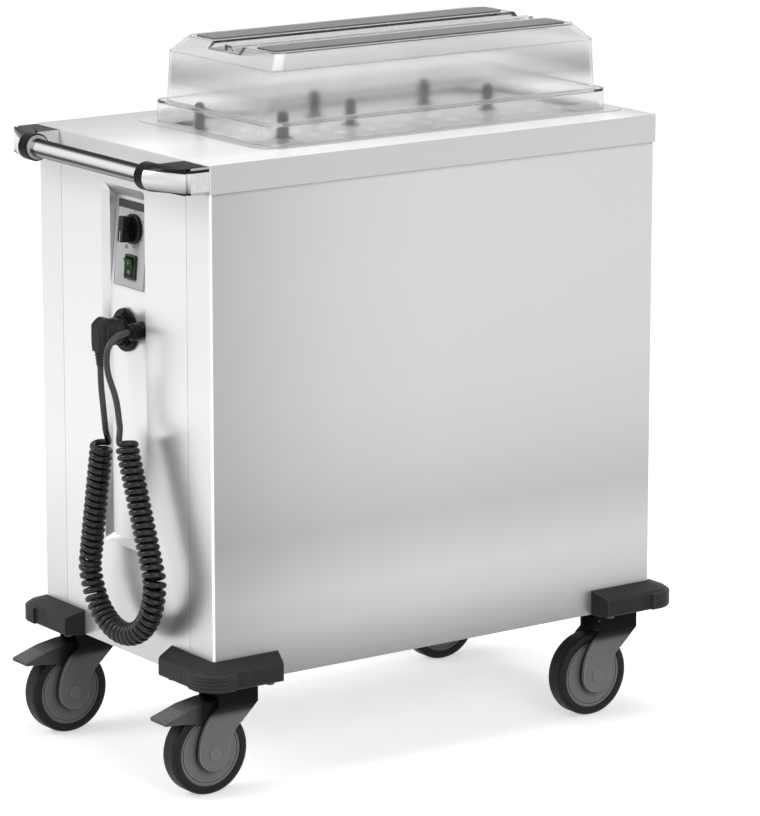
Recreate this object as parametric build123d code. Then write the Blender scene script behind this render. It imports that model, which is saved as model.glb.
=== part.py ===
from build123d import *
import math
import os

# Heated plate dispenser on castors, in millimetres.
# X runs across the trolley, Y from the handle end to the far end and Z up from the floor.

# Cabinet
worktop_width = 452.0
worktop_height = 900.0
rim_depth = 41.0
rim_corner = 3.0
sheet = 1.5
panel_setback = 2.0
panel_corner = 4.0
body_bottom = 163.0
corner_return = 62.0
seam = 0.6
tray_height = 30.0

# Plate well
well_width = 288.0
well_length = 588.0
handle_end_strip = 126.5
far_end_strip = 6.5
well_corner = 18.0
well_above_bottom = 83.0
flange_overlap = 28.0
seat_depth = 0.5
seat_fit = 0.4
tab_width = 44.0
tab_length = 56.0
tab_corner = 16.0
tab_fit = 0.4
well_fit = 0.5
vent_radius = 10.0
vent_columns = 3
vent_rows = 6

# Lifting platform and its carriage
platform_gap = 4.0
platform_drop = 5.0
platform_sheet = 2.0
platform_edge = 18.0
hole_radius = 7.0
dimple_radius = 11.0
dimple_depth = 4.0
hole_side_margin = 75.75
hole_end_margin = 24.5
hole_columns = 4
hole_rows = 12
pin_radius = 7.5
pin_height = 39.0
pin_foot_radius = 13.0
pin_foot = 1.5
pin_columns = (3, 0, 2, 0, 2, 0)
pin_rows = (1, 0, 4, 4, 9, 8)
carriage_stop = 39.0
bar_offset = 150.0
bar_width = 24.0
bar_thickness = 10.0
bar_drop = 190.0
bar_reach = 38.0
leg_thickness = 6.0
leg_inset = 14.0
slot_clearance = 3.0
spring_radius = 8.0
spring_inset = 12.0
hanger_drop = 36.5
hanger_thickness = 3.0

# Lid
lid_wall = 4.0
lid_skirt_height = 30.0
lid_seat = 6.0
lid_ledge = 10.0
lid_corner = 20.0
lid_box_height = 72.0
lid_draft = 3.0
lid_chamfer = 20.0
lid_chamfer_height = 22.0
groove_half_width = 38.0
groove_depth = 9.0
rib_half_width = 9.0
rib_depth = 2.0
strip_thickness = 1.2
strip_width = 50.0
strip_end = 10.0

# Handle
handle_reach = 49.5
handle_drop = 20.0
handle_radius = 13.0
handle_wall = 1.5
ring_radius = 19.7
ring_face = 143.0
ring_length = 20.0
collar_radius = 17.5
collar_depth = 6.0
collar_proud = 2.0
bracket_depth = 38.0
bracket_height = 37.0
bracket_chamfer = 8.0
cover_thickness = 4.0
cover_margin = 3.0
running_fit = 0.05

# Operator recess and controls
recess_width = 114.0
recess_below_top = 59.5
recess_above_bottom = 155.0
recess_depth = 9.0
recess_draft = 9.0
recess_corner = 10.0
recess_bend_drop = 149.0
recess_deep = 21.0
recess_deep_drop = 19.0
plate_width = 78.0
plate_height = 122.0
plate_thickness = 1.2
plate_lift = 4.0
plate_corner = 3.0
hole_ease = 1.0
knob_x = 5.0
knob_up = 88.0
knob_radius = 21.5
knob_gap = 0.4
knob_disc = 6.0
knob_edge = 2.0
knob_grip_margin = 3.0
knob_grip_edge = 1.0
knob_grip_width = 13.0
knob_grip_height = 17.0
shaft_radius = 3.0
shaft_reach = 9.0
thermostat_size = 44.0
thermostat_depth = 34.0
switch_x = 5.0
switch_up = 34.0
bezel_width = 27.0
bezel_height = 35.0
bezel_rise = 4.0
bezel_lip = 1.0
bezel_corner = 3.0
switch_fit = 0.5
switch_depth = 24.0
rocker_width = 19.4
rocker_height = 26.0
rocker_tilt = 8.0
rocker_crest = 3.5
rocker_dish = 2.5
rocker_foot = 3.0
rocker_shoulder = 2.0
rocker_side_gap = 0.6
rocker_end_gap = 1.2
rocker_pin_radius = 1.5

# Plug holder, gland, plug and cord
holder_x = -8.0
holder_drop = 58.0
holder_radius = 31.0
holder_flange = 5.0
holder_collar = 23.5
holder_collar_height = 7.0
holder_cup_radius = 17.0
holder_cup = 16.0
holder_edge = 1.5
holder_screw_radius = 4.0
holder_screw_rise = 2.0
plug_ease = 1.0
pin_hole_ease = 0.3
plug_radius = 19.5
plug_barrel = 31.0
plug_neck = 12.0
plug_head_thickness = 16.0
plug_head_width = 23.0
plug_head_top = 22.0
plug_head_bottom = 26.0
plug_head_slant = 11.0
plug_crown = 8.5
plug_shoulder_up = 18.0
plug_shoulder_down = 15.0
plug_chin = 9.0
plug_head_edge = 1.5
plug_grip_size = (3.0, 22.0, 5.0)
plug_rib_count = 6
plug_rib_size = (2.0, 6.0, 10.0)
plug_rib_at = 13.0
plug_pin_radius = 2.4
plug_pin_spacing = 19.0
plug_pin_length = 17.0
boot_length = 21.0
boot_radius = 8.0
boot_ribs = 5
boot_rib_depth = 1.2
boot_end_wall = 1.0
gland_x = 35.8
gland_rise = 6.0
gland_radius = 13.5
gland_length = 23.0
gland_nut = 8.0
gland_shoulder = 1.0
gland_round = 5.0
cord_diameter = 9.0
gland_bend_step = 12.5
gland_bend_steps = 4
gland_drop = 28.0
gland_run = 35.0
boot_drop = 23.0
boot_run = 30.0

# Curly part of the cord: a loop of two straight legs round a bend, in a plane facing the end panel
loop_reach = 37.5
loop_aside = 54.5
loop_drop = 340.0
loop_radius = 84.0
loop_start = (15.5, 195.0)
loop_finish = (-50.0, 181.0)
curl_radius = 12.5
leg_pitch = 10.0
bend_pitch = 11.3
curl_entry = (-0.5, 213.0)
curl_entry_lean = 11.5
curl_leave = (-38.5, 202.0)
curl_leave_lean = 10.0

# Bumpers
bumper_arm = 108.0
bumper_depth = 29.0
bumper_below = 0.5
bumper_face_height = 24.5
bumper_height = 37.0
bumper_edge = 3.0
bumper_edge_rise = 3.5
bumper_foot_edge = 2.0
bumper_end_slant = 10.0
score_from_corner = 40.0
score_width = 1.6
score_depth = 1.2
knuckle_proud = 4.0
knuckle_run = 12.0
knuckle_grooves = 4
groove_size = 1.6
knuckle_edge = 2.0
bolt_radius = 6.0
bolt_height = 5.0
bolt_from_end = 24.0

# Castors
castor_inset_x = 37.0
castor_inset_y = 47.0
castor_trail = 39.0
wheel_radius = 62.5
tyre_width = 31.0
rim_radius = 50.0
rim_ledge = 4.0
rim_groove = 2.0
rim_groove_depth = 1.5
web_inset = 2.5
tyre_round = 6.0
hub_radius = 14.0
hub_width = 40.0
axle_radius = 6.0
axle_cap_radius = 9.0
axle_cap = 1.5
fork_gap = 41.0
fork_arm = 5.5
fork_foot = 25.0
fork_bulge = 29.5
fork_bulge_rise = 21.5
fork_neck = 46.0
fork_neck_rise = 40.0
fork_knee_rise = 65.5
fork_front = 7.5
fork_cheek = 15.0
fork_back = 34.0
crown_gap = 5.0
crown_depth = 17.0
crown_sheet = 6.0
housing_radius = 22.0
kingpin_radius = 10.0
kingpin_head_radius = 15.0
kingpin_head = 6.0
swivel_gap = 0.4
castor_plate_width = 70.0
castor_plate_length = 90.0
castor_plate_corner = 8.0
pedal_width = 39.6
pedal_wall = 2.2
pedal_eye = 6.0
pedal_reach = 116.5
pedal_tip_drop = 18.0
pedal_tip_thickness = 5.0
pedal_head = (45.0, 3.0)
pedal_knee = (75.0, -2.0)
pedal_web = (90.5, -22.0)
pedal_heel = (47.0, -27.5)
pedal_hood = 26.0
pedal_hollow = 96.5
tread_ribs = 5
tread_pitch = 6.0
tread_rib_width = 2.4
tread_rib_height = 1.4
pedal_pivot_back = 12.5
pedal_pivot_drop = 24.0
pedal_pin_radius = 4.0

# Heater under the well
heater_radius = 4.25
heater_height = 40.0
heater_half_length = 230.0
heater_half_width = 90.0
heater_runs = 4
bracket_from_middle = 138.0
bracket_slot = 9.0

# Places worked out from the sizes above
worktop_length = well_length + 2 * flange_overlap + handle_end_strip + far_end_strip
well_offset = (handle_end_strip - far_end_strip) / 2
half_width = worktop_width / 2
half_length = worktop_length / 2
panel_x = half_width - panel_setback
panel_y = half_length - panel_setback
panel_top = worktop_height - sheet
seam_x = half_width - corner_return
flange_top = worktop_height + sheet - seat_depth
spring_top = panel_top - hanger_drop
well_bottom = body_bottom + well_above_bottom
bumper_low = body_bottom - bumper_below
crown_top = body_bottom - crown_gap
crown_low = crown_top - crown_depth
pedal_pivot_z = crown_top - pedal_pivot_drop
recess_top = panel_top - recess_below_top
recess_bottom = body_bottom + recess_above_bottom
recess_bend = recess_top - recess_bend_drop
recess_deep_top = recess_top - recess_deep_drop
holder_z = recess_bend - holder_drop
gland_z = holder_z + gland_rise
loop_centre_x = holder_x + loop_aside
loop_centre_z = holder_z - loop_drop
hole_pitch_x = (well_width - 2 * hole_side_margin) / (hole_columns - 1)
hole_pitch_y = (well_length - 2 * hole_end_margin) / (hole_rows - 1)
castor_x = panel_x - castor_inset_x
castor_y = panel_y - castor_inset_y
platform_top = worktop_height - platform_drop
handle_y = -half_length - handle_reach
handle_z = worktop_height - handle_drop
recess_back = -panel_y + recess_depth
control_tilt = math.atan((recess_deep - recess_depth) / (recess_deep_top - recess_bend))
control_plane = Plane(
    origin=(0, recess_back, recess_bend),
    x_dir=(1, 0, 0),
    z_dir=(0, -math.cos(control_tilt), math.sin(control_tilt)),
)
loop_y = -panel_y - loop_reach
bar_low = platform_top - bar_drop
lift_travel = bar_low - well_bottom - carriage_stop
wheel_z = wheel_radius
switch_opening = (bezel_width - 2 * bezel_lip, bezel_height - 2 * bezel_lip)
castor_places = [(side * castor_x, way * castor_y) for way in (-1, 1) for side in (-1, 1)]
fork_inner = fork_gap / 2
fork_outer = fork_inner + fork_arm
castor_plate_low = crown_top + swivel_gap
front_reach = -handle_y + ring_radius
rear_reach = panel_y + bumper_depth + knuckle_proud
body_y = (front_reach - rear_reach) / 2


def block(low, high):
    """A box between two corners."""
    size = [b - a for a, b in zip(low, high)]
    centre = [(a + b) / 2 for a, b in zip(low, high)]
    return Pos(*centre) * Box(*size)


def slab(width, length, radius, low, high, y=0.0):
    """An upright prism with a rounded rectangular outline."""
    return extrude(Pos(0, y, low) * RectangleRounded(width, length, radius), high - low)


def rod(start, end, radius):
    """A round bar between two points."""
    along = Vector(*end) - Vector(*start)
    return extrude(Plane(origin=start, z_dir=along) * Circle(radius), along.length)


# Cabinet shell

def make_worktop():
    rim_low = worktop_height - rim_depth
    shell = block((-half_width, -half_length, rim_low), (half_width, half_length, worktop_height))
    shell = fillet(shell.edges().filter_by(Axis.Z), rim_corner)
    shell = fillet(shell.faces().sort_by(Axis.Z)[-1].edges(), sheet)
    inside = slab(
        worktop_width - 2 * sheet, worktop_length - 2 * sheet, rim_corner - sheet / 2, rim_low, panel_top,
    )
    growth = 2 * (sheet + well_fit)
    opening = slab(
        well_width + growth, well_length + growth, well_corner + growth / 2,
        panel_top - seat_depth, flange_top, well_offset,
    )
    seat_spread = 2 * (flange_overlap + seat_fit)
    seat_corner = well_corner + flange_overlap / 2
    seat_size = (well_width + seat_spread, well_length + seat_spread, seat_corner)
    pressed = slab(*seat_size, panel_top - seat_depth, panel_top, well_offset)
    seat = slab(*seat_size, worktop_height - seat_depth, flange_top, well_offset)
    return shell - inside + pressed - seat - opening


def make_side_panel(side):
    outer = RectangleRounded(2 * panel_x, 2 * panel_y, panel_corner)
    inner = RectangleRounded(2 * (panel_x - sheet), 2 * (panel_y - sheet), panel_corner - sheet)
    half = Pos(side * (seam_x + panel_x), 0) * Rectangle(2 * panel_x, 4 * panel_y)
    wrap = (outer - inner) & half
    return extrude(Pos(0, 0, body_bottom) * wrap, panel_top - body_bottom)


def recess_form(grow):
    """The pressed recess as a solid, every wall moved outwards by grow."""
    front = -panel_y
    side_view = Polyline(
        (front - grow, recess_bottom - grow),
        (front + recess_depth + grow, recess_bottom + recess_draft - grow / 2),
        (front + recess_depth + grow, recess_bend),
        (front + recess_deep + grow, recess_deep_top + grow / 2),
        (front - grow, recess_top + grow),
        close=True,
    )
    half = recess_width / 2 + grow
    drawn = half - recess_draft
    plan = Polyline(
        (-half, front - grow),
        (half, front - grow),
        (drawn, front + recess_depth),
        (drawn, front + 2 * recess_deep),
        (-drawn, front + 2 * recess_deep),
        (-drawn, front + recess_depth),
        close=True,
    )
    lengthwise = extrude(Plane.YZ * make_face(side_view), recess_width, both=True)
    upright = extrude(make_face(plan), 2 * worktop_height)
    form = lengthwise & upright
    corners = [
        edge for edge in form.edges().filter_by(GeomType.LINE)
        if edge.length < 4 * recess_deep
        and abs(edge.tangent_at(0).Y) > 0.3
        and abs(edge.tangent_at(0).X) > 0.2
        and abs(edge.tangent_at(0).Z) > 0.2
    ]
    return fillet(corners, recess_corner)


def make_operator_panel():
    edge = seam_x - seam
    plate = block((-edge, -panel_y, body_bottom), (edge, -panel_y + sheet, panel_top))
    keep = block((-edge, -panel_y, body_bottom), (edge, 0, panel_top))
    panel = plate + (recess_form(sheet) & keep) - recess_form(0)
    shaft_hole = control_plane * Pos(knob_x, knob_up) * Cylinder(shaft_radius + hole_ease, 6 * sheet)
    switch_hole = control_plane * Pos(switch_x, switch_up) * Box(*switch_opening, 6 * sheet)
    cord_hole = Rot(90, 0, 0) * Cylinder(cord_diameter / 2 + hole_ease, 6 * sheet)
    cord_hole = Pos(gland_x, recess_back, gland_z) * cord_hole
    cup_hole = Rot(90, 0, 0) * Cylinder(holder_cup_radius + running_fit, 6 * sheet)
    cup_hole = Pos(holder_x, recess_back, holder_z) * cup_hole
    return panel - shaft_hole - switch_hole - cord_hole - cup_hole


def make_rear_panel():
    edge = seam_x - seam
    return block((-edge, panel_y - sheet, body_bottom), (edge, panel_y, panel_top))


def make_base_tray():
    inner_x = panel_x - sheet
    inner_y = panel_y - sheet
    tray = slab(2 * inner_x, 2 * inner_y, panel_corner - sheet, body_bottom, body_bottom + tray_height)
    hollow = block(
        (-inner_x + sheet, -inner_y + sheet, body_bottom + 2 * sheet),
        (inner_x - sheet, inner_y - sheet, body_bottom + 2 * tray_height),
    )
    return tray - hollow


# Plate well

def make_well_liner():
    growth = 2 * sheet
    wall = slab(
        well_width + growth, well_length + growth, well_corner + sheet, well_bottom, flange_top, well_offset,
    )
    spread = 2 * flange_overlap
    flange = slab(
        well_width + spread, well_length + spread, well_corner + flange_overlap / 2,
        flange_top - sheet, flange_top, well_offset,
    )
    hollow = slab(well_width, well_length, well_corner, 0, 2 * worktop_height, well_offset)
    liner = wall + flange - hollow
    slot_low = bar_low - lift_travel - slot_clearance
    slot_high = bar_low + bar_thickness + slot_clearance
    slot_half = bar_width / 2 + slot_clearance
    for way in (-1, 1):
        centre = well_offset + way * bar_offset
        near = centre - slot_half
        far = centre + slot_half
        liner -= block((-half_width, near, slot_low), (half_width, far, slot_high))
    return liner


def make_corner_tabs():
    """Flat plates on the frame, one inside each corner of the lid."""
    outer_x = well_width / 2 + lid_seat - lid_wall - tab_fit
    outer_y = well_length / 2 + lid_seat - lid_wall - tab_fit
    low = (outer_x - tab_width, outer_y - tab_length, flange_top)
    tab = block(low, (outer_x, outer_y, flange_top + sheet))
    upright = tab.edges().filter_by(Axis.Z).sort_by(lambda edge: edge.center().X + edge.center().Y)
    tab = fillet([upright[0], upright[-1]], tab_corner)
    near = mirror(tab, Plane.XZ)
    tabs = [tab, mirror(tab, Plane.YZ), near, mirror(near, Plane.YZ)]
    return Compound([Pos(0, well_offset, 0) * tab for tab in tabs])


def make_well_floor():
    growth = 2 * sheet
    plate = slab(
        well_width + growth, well_length + growth, well_corner + sheet,
        well_bottom - sheet, well_bottom, well_offset,
    )
    vents = GridLocations(well_width / vent_columns, well_length / vent_rows, vent_columns, vent_rows)
    for place in vents:
        plate -= Pos(0, well_offset, well_bottom) * place * Cylinder(vent_radius, 4 * sheet)
    return plate


# Lifting platform

def platform_cells():
    grid = GridLocations(hole_pitch_x, hole_pitch_y, hole_columns, hole_rows)
    return [Pos(0, well_offset, 0) * place for place in grid]


def dimple(grow):
    """The cone pressed round one hole, every radius larger by grow."""
    cone = Cone(hole_radius + grow, dimple_radius + grow, dimple_depth)
    return Pos(0, 0, platform_top - dimple_depth / 2) * cone


def make_platform():
    """A shallow tray turned upside down, with a pressed dimple round every hole."""
    width = well_width - 2 * platform_gap
    length = well_length - 2 * platform_gap
    corner = well_corner - platform_gap
    tray = slab(width, length, corner, platform_top - platform_edge, platform_top, well_offset)
    tray = fillet(tray.faces().sort_by(Axis.Z)[-1].edges(), platform_sheet)
    wall = 2 * platform_sheet
    tray -= slab(
        width - wall, length - wall, corner - platform_sheet,
        platform_top - 2 * platform_edge, platform_top - platform_sheet, well_offset,
    )
    shell = dimple(platform_sheet)
    hollow = dimple(0)
    tray = tray.fuse(*[cell * shell for cell in platform_cells()])
    return tray.cut(*[cell * hollow for cell in platform_cells()])


def make_guide_pins():
    profile = make_face(
        Polyline(
            (0, 0), (pin_foot_radius, 0), (pin_foot_radius, pin_foot), (pin_radius, pin_foot),
            (pin_radius, pin_height - pin_radius),
        )
        + RadiusArc((pin_radius, pin_height - pin_radius), (0, pin_height), -pin_radius)
        + Line((0, pin_height), (0, 0))
    )
    pin = revolve(Plane.XZ * profile, Axis.Z)
    pins = []
    for column, row in zip(pin_columns, pin_rows):
        x = (column - (hole_columns - 1) / 2) * hole_pitch_x
        y = (row - (hole_rows - 1) / 2) * hole_pitch_y + well_offset
        pins.append(Pos(x, y, platform_top) * pin)
    return Compound(pins)


def make_carriage():
    leg_x = well_width / 2 - leg_inset
    under = platform_top - platform_sheet
    bars = []
    for way in (-1, 1):
        centre = well_offset + way * bar_offset
        near = centre - bar_width / 2
        far = centre + bar_width / 2
        reach = well_width / 2 + bar_reach
        bars.append(block((-reach, near, bar_low), (reach, far, bar_low + bar_thickness)))
        for side in (-1, 1):
            inner = side * leg_x
            outer = side * (leg_x - leg_thickness)
            bars.append(block((min(inner, outer), near, bar_low), (max(inner, outer), far, under)))
    for side in (-1, 1):
        inner = side * leg_x
        outer = side * (leg_x - 2 * leg_thickness)
        low = (min(inner, outer), well_offset - bar_offset - bar_width / 2, under - leg_thickness)
        high = (max(inner, outer), well_offset + bar_offset + bar_width / 2, under)
        bars.append(block(low, high))
    return bars[0].fuse(*bars[1:])


def spring_places():
    x = well_width / 2 + bar_reach - spring_inset
    return [(side * x, well_offset + way * bar_offset) for side in (-1, 1) for way in (-1, 1)]


def make_springs():
    low = bar_low + bar_thickness
    return Compound([rod((x, y, low), (x, y, spring_top), spring_radius) for x, y in spring_places()])


def make_hangers():
    """Angle brackets under the worktop that the springs hang from."""
    hangers = []
    for x, y in spring_places():
        side = math.copysign(1, x)
        wall = side * (panel_x - sheet)
        inner = side * (abs(x) - spring_radius)
        near = y - bar_width / 2
        far = y + bar_width / 2
        shelf_top = spring_top + hanger_thickness
        shelf = block((min(wall, inner), near, spring_top), (max(wall, inner), far, shelf_top))
        back = wall - side * hanger_thickness
        web = block((min(wall, back), near, spring_top), (max(wall, back), far, panel_top))
        hangers.append(shelf + web)
    return Compound(hangers)


# Lid

def lid_form(inset):
    """The lid's outside at inset 0, or its inside with every wall moved in by inset."""
    skirt_w = well_width + 2 * lid_seat - 2 * inset
    skirt_l = well_length + 2 * lid_seat - 2 * inset
    low = flange_top
    ledge_z = low + lid_skirt_height - inset
    shoulder_z = low + lid_skirt_height + lid_box_height - inset * 0.4
    top_z = low + lid_skirt_height + lid_box_height + lid_chamfer_height - inset
    corner = lid_corner - inset
    form = slab(skirt_w, skirt_l, corner, low - inset, ledge_z, well_offset)
    step = 2 * lid_ledge
    draft = step + 2 * lid_draft
    crown = draft + 2 * lid_chamfer
    sections = [
        Pos(0, well_offset, ledge_z) * RectangleRounded(skirt_w - step, skirt_l - step, corner),
        Pos(0, well_offset, shoulder_z) * RectangleRounded(skirt_w - draft, skirt_l - draft, corner),
        Pos(0, well_offset, top_z) * RectangleRounded(skirt_w - crown, skirt_l - crown, corner),
    ]
    form += loft(sections, ruled=True)
    groove = groove_half_width + inset
    floor_z = top_z - groove_depth
    form -= block((-groove, -worktop_length, floor_z), (groove, worktop_length, 2 * top_z))
    rib = rib_half_width - inset
    rib_end = (skirt_l - draft) / 2 - lid_chamfer
    rib_low = (-rib, well_offset - rib_end, floor_z - lid_chamfer / 2)
    rib_high = (rib, well_offset + rib_end, top_z - rib_depth)
    return form + block(rib_low, rib_high)


def make_lid():
    return lid_form(0) - lid_form(lid_wall)


def make_lid_strips():
    top = flange_top + lid_skirt_height + lid_box_height + lid_chamfer_height
    edge = well_width / 2 + lid_seat - lid_ledge - lid_draft - lid_chamfer
    centre = (edge + groove_half_width) / 2
    end = well_length / 2 + lid_seat - lid_ledge - lid_draft - lid_chamfer - strip_end
    strip = slab(strip_width, 2 * end, strip_width / 6, top, top + strip_thickness, well_offset)
    return Compound([Pos(side * centre, 0, 0) * strip for side in (-1, 1)])


# Handle

def bracket_horn():
    """The curved horn from the round tube socket to the square corner of the rim, on the +X side."""
    ring = Plane(origin=(ring_face + ring_length, handle_y, handle_z), z_dir=(1, 0, 0)) * Circle(ring_radius)
    centre_y = -half_length - bracket_depth / 2
    root = Plane(origin=(half_width, centre_y, handle_z), x_dir=(0, 1, 0), z_dir=(1, 0, 0))
    return loft([ring, root * Rectangle(bracket_depth, bracket_height)])


def bracket_body():
    """The horn with its outer front corner cut off."""
    front = -half_length - bracket_depth
    corner = make_face(
        Polyline(
            (half_width, front),
            (half_width, front + bracket_chamfer),
            (half_width - bracket_chamfer, front),
            close=True,
        )
    )
    return bracket_horn() - extrude(corner, worktop_height)


def bracket_cover():
    """The silver skin over the front of the horn and round the corner to the rim."""
    body = bracket_body()
    low = handle_z - bracket_height / 2 + cover_margin
    high = handle_z + bracket_height / 2 - cover_margin
    band = block((0, -worktop_length, low), (half_width, -half_length, high))
    return (body - Pos(-cover_thickness, cover_thickness, 0) * body) & band


def make_bracket(side):
    start = (ring_face, handle_y, handle_z)
    ring_end = ring_face + ring_length
    bracket = rod(start, (ring_end, handle_y, handle_z), ring_radius) + bracket_body() - bracket_cover()
    bracket -= rod(start, (ring_end - handle_wall, handle_y, handle_z), handle_radius + running_fit)
    bracket -= rod(start, (ring_face + collar_depth, handle_y, handle_z), collar_radius + running_fit)
    return bracket if side > 0 else mirror(bracket, Plane.YZ)


def make_cover(side):
    cover = bracket_cover()
    return cover if side > 0 else mirror(cover, Plane.YZ)


def make_collars():
    start = ring_face - collar_proud
    end = ring_face + collar_depth
    collar = rod((start, handle_y, handle_z), (end, handle_y, handle_z), collar_radius)
    collar -= rod((start, handle_y, handle_z), (end, handle_y, handle_z), handle_radius + running_fit)
    return Compound([collar, mirror(collar, Plane.YZ)])


def make_handle_tube():
    end = ring_face + ring_length - handle_wall
    tube = rod((-end, handle_y, handle_z), (end, handle_y, handle_z), handle_radius)
    return tube - rod((-end, handle_y, handle_z), (end, handle_y, handle_z), handle_radius - handle_wall)


# Controls in the recess

def make_control_plate():
    plate = Pos(0, plate_lift + plate_height / 2) * RectangleRounded(plate_width, plate_height, plate_corner)
    plate -= Pos(knob_x, knob_up) * Circle(shaft_radius + hole_ease)
    plate -= Pos(switch_x, switch_up) * Rectangle(*switch_opening)
    return control_plane * extrude(plate, plate_thickness)


def make_knob():
    base = plate_thickness + knob_gap
    disc = Pos(0, 0, base) * extrude(Circle(knob_radius), knob_disc)
    disc = fillet(disc.edges().sort_by(Axis.Z)[-1], knob_edge)
    grip_length = 2 * (knob_radius - knob_grip_margin)
    outline = RectangleRounded(knob_grip_width, grip_length, knob_grip_margin)
    grip = Pos(0, 0, base + knob_disc) * extrude(outline, knob_grip_height)
    grip = fillet(grip.faces().sort_by(Axis.Z)[-1].edges(), knob_grip_edge)
    bore = extrude(Circle(shaft_radius + running_fit), plate_thickness + shaft_reach + knob_gap)
    return control_plane * Pos(knob_x, knob_up) * (disc + grip - bore)


def make_thermostat():
    size = thermostat_size
    case = Pos(0, 0, -sheet - thermostat_depth / 2) * Box(size, size, thermostat_depth)
    shaft = Pos(0, 0, -sheet) * extrude(Circle(shaft_radius), sheet + plate_thickness + shaft_reach)
    return control_plane * Pos(knob_x, knob_up) * (case + shaft)


def make_switch_bezel():
    frame = extrude(RectangleRounded(bezel_width, bezel_height, bezel_corner), bezel_rise)
    frame = Pos(0, 0, plate_thickness) * frame
    case_width = switch_opening[0] - 2 * switch_fit
    case_height = switch_opening[1] - 2 * switch_fit
    case = extrude(Rectangle(case_width, case_height), switch_depth + plate_thickness)
    case = Pos(0, 0, -switch_depth) * case
    pocket = Rectangle(rocker_width + 2 * rocker_side_gap, rocker_height + 2 * rocker_end_gap)
    body = frame + case - Pos(0, 0, -switch_depth / 2) * extrude(pocket, switch_depth)
    pivot = Rot(0, 90, 0) * Cylinder(rocker_pin_radius + running_fit, 2 * bezel_width)
    pivot = Pos(0, 0, plate_thickness) * pivot
    return control_plane * Pos(switch_x, switch_up) * (body - pivot)


def make_rocker():
    half = rocker_height / 2
    foot = half - rocker_foot
    shoulder = rocker_shoulder
    crest = bezel_rise + rocker_crest
    low = -switch_depth / 4
    side_view = make_face(
        Polyline((-foot, low), (foot, low), (half, shoulder), (half, crest))
        + ThreePointArc((half, crest), (0, crest - rocker_dish), (-half, crest))
        + Polyline((-half, crest), (-half, shoulder), (-foot, low))
    )
    body = extrude(Plane.YZ * side_view, rocker_width / 2, both=True)
    pivot = Rot(0, 90, 0) * Cylinder(rocker_pin_radius, switch_opening[0] - 2 * switch_fit)
    rocker = Rot(rocker_tilt, 0, 0) * (body + pivot)
    return control_plane * Pos(switch_x, switch_up, plate_thickness) * rocker


# Plug holder, gland and plug

def facing(x, z, y):
    """A place whose local Z points out of the operator end."""
    return Plane(origin=(x, y, z), x_dir=(1, 0, 0), z_dir=(0, -1, 0))


def make_plug_holder():
    flange = extrude(Circle(holder_radius), holder_flange)
    flange = fillet(flange.edges().sort_by(Axis.Z)[-1], holder_edge)
    collar = Circle(holder_collar) - Circle(plug_radius + plug_ease)
    holder = flange + Pos(0, 0, holder_flange) * extrude(collar, holder_collar_height)
    holder += Pos(0, 0, -holder_cup) * extrude(Circle(holder_cup_radius), holder_cup)
    boss_at = (holder_collar + holder_radius) / 2
    for angle in (90, -30):
        boss = extrude(Circle(holder_screw_radius), holder_flange + holder_screw_rise)
        holder += Rot(0, 0, angle) * Pos(boss_at, 0) * boss
    depth = plug_pin_length + plug_ease
    for way in (-1, 1):
        hole = extrude(Circle(plug_pin_radius + pin_hole_ease), depth)
        holder -= Pos(way * plug_pin_spacing / 2, 0, holder_flange - depth) * hole
    return facing(holder_x, holder_z, recess_back) * holder


def make_plug():
    foot = holder_flange
    head_foot = foot + plug_barrel
    barrel = Pos(0, 0, foot) * extrude(Circle(plug_radius), plug_barrel - plug_neck)
    for index in range(plug_rib_count):
        turn = Rot(0, 0, 360 / plug_rib_count * index)
        barrel -= turn * Pos(plug_radius, 0, foot + plug_rib_at) * Box(*plug_rib_size)
    half = plug_head_width / 2
    round_end = Pos(0, 0, head_foot - plug_neck) * Circle(plug_radius)
    barrel += loft([round_end, Pos(0, 0, head_foot) * Ellipse(half, plug_radius)])
    outline = make_face(
        Polyline(
            (-plug_crown, plug_head_top), (plug_crown, plug_head_top), (half, plug_shoulder_up),
            (half, -plug_shoulder_down), (plug_chin, -plug_head_bottom),
            (-plug_chin, -plug_head_bottom), (-half, -plug_shoulder_down), (-half, plug_shoulder_up),
            close=True,
        )
    )
    head = Pos(0, 0, head_foot) * extrude(outline, plug_head_thickness)
    back = head_foot + plug_head_thickness
    slant = make_face(
        Polyline(
            (plug_head_top - plug_head_slant, back), (plug_head_top, back - plug_head_slant),
            (plug_head_top, back), close=True,
        )
    )
    head -= extrude(Plane.YZ * slant, plug_head_width, both=True)
    head = fillet(head.faces().sort_by(Axis.Z)[-1].edges(), plug_head_edge)
    for way in (-1, 1):
        head -= Pos(way * half, 0, head_foot + plug_head_thickness / 2) * Box(*plug_grip_size)
    plug = barrel + head
    for way in (-1, 1):
        pin = extrude(Circle(plug_pin_radius), plug_pin_length)
        plug += Pos(way * plug_pin_spacing / 2, 0, foot - plug_pin_length) * pin
    return facing(holder_x, holder_z, recess_back) * plug


plug_mid_y = recess_back - holder_flange - plug_barrel - plug_head_thickness / 2
boot_top = holder_z - plug_head_bottom
boot_end = boot_top - boot_length


def make_plug_boot():
    end_radius = cord_diameter / 2 + boot_end_wall
    taper = boot_radius - end_radius
    pitch = boot_length / (2 * boot_ribs)
    points = [(0, boot_length), (boot_radius, boot_length)]
    for index in range(boot_ribs):
        upper = boot_radius - taper * index / boot_ribs
        level = boot_length - 2 * pitch * index
        inner = upper - boot_rib_depth
        points += [(upper, level - pitch), (inner, level - pitch), (inner, level - 2 * pitch)]
        if index < boot_ribs - 1:
            points.append((boot_radius - taper * (index + 1) / boot_ribs, level - 2 * pitch))
    points.append((0, 0))
    profile = make_face(Polyline(*points, close=True))
    return Pos(holder_x, plug_mid_y, boot_end) * revolve(Plane.XZ * profile, Axis.Z)


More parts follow.
